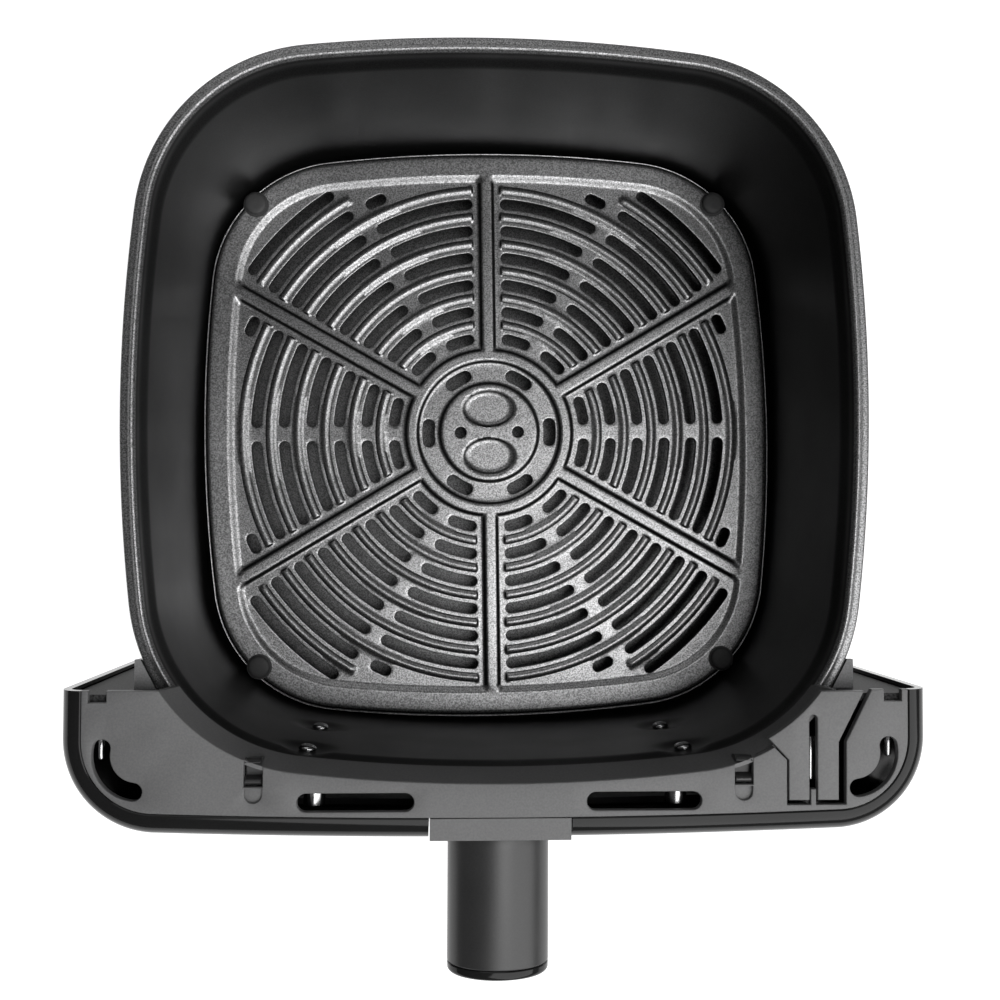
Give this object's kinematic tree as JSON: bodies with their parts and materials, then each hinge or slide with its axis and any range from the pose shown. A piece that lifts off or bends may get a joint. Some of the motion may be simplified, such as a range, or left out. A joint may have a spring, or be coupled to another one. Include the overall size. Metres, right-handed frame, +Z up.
{
  "type": "air fryer drawer",
  "caption": "Removable air fryer drawer: square non-stick pan with a lift-out perforated crisper plate, glossy front housing and straight handle.",
  "frame": {"origin": "centre of the pan's flat underside, on the surface the drawer stands on", "axes": "+Z up, -Y along the handle towards the user, +Y into the machine, +X to the right seen from the handle with the pan beyond"},
  "size_m": [0.274, 0.3074, 0.1297],
  "materials": {
    "pan_coating": "satin non-stick coating",
    "plate_coating": "fine metallic non-stick coating",
    "silicone": "matte",
    "gloss_black": "high gloss",
    "matte_grey": "fine matte texture",
    "frame_plastic": "matte",
    "grip_plastic": "satin",
    "steel": "plain zinc-plated"
  },
  "bodies": {
    "drawer": {"pan": "pan_coating", "front_shell": "gloss_black", "top_cover": "matte_grey", "switch_plate": "matte_grey", "cover_clip_left": "matte_grey", "cover_clip_right": "matte_grey", "bottom_cover": "frame_plastic", "inner_frame": "frame_plastic", "rear_guard_left": "matte_grey", "rear_guard_right": "matte_grey", "handle_mount": "matte_grey", "handle_core": "steel", "handle_upper": "grip_plastic", "handle_lower": "grip_plastic", "handle_end_cap": "gloss_black", "pan_bracket_left": "steel", "pan_bracket_right": "steel", "pan_rivet_1": "steel", "frame_screw_1": "steel", "bottom_screw_1": "steel", "pan_rivet_2": "steel", "frame_screw_2": "steel", "bottom_screw_2": "steel", "pan_rivet_3": "steel", "frame_screw_3": "steel", "bottom_screw_3": "steel", "pan_rivet_4": "steel", "frame_screw_4": "steel", "bottom_screw_4": "steel", "handle_screw_1": "steel", "grip_screw_1": "steel", "handle_screw_2": "steel", "grip_screw_2": "steel"},
    "crisper": {"crisper_plate": "plate_coating", "bumper_front_left": "silicone", "bumper_front_right": "silicone", "bumper_rear_left": "silicone", "bumper_rear_right": "silicone"}
  },
  "joints": [
    {"name": "plate_lift", "type": "slide", "parent": "drawer", "child": "crisper", "axis": [0, 0, 1], "range_m": [0, 0.13]}
  ]
}
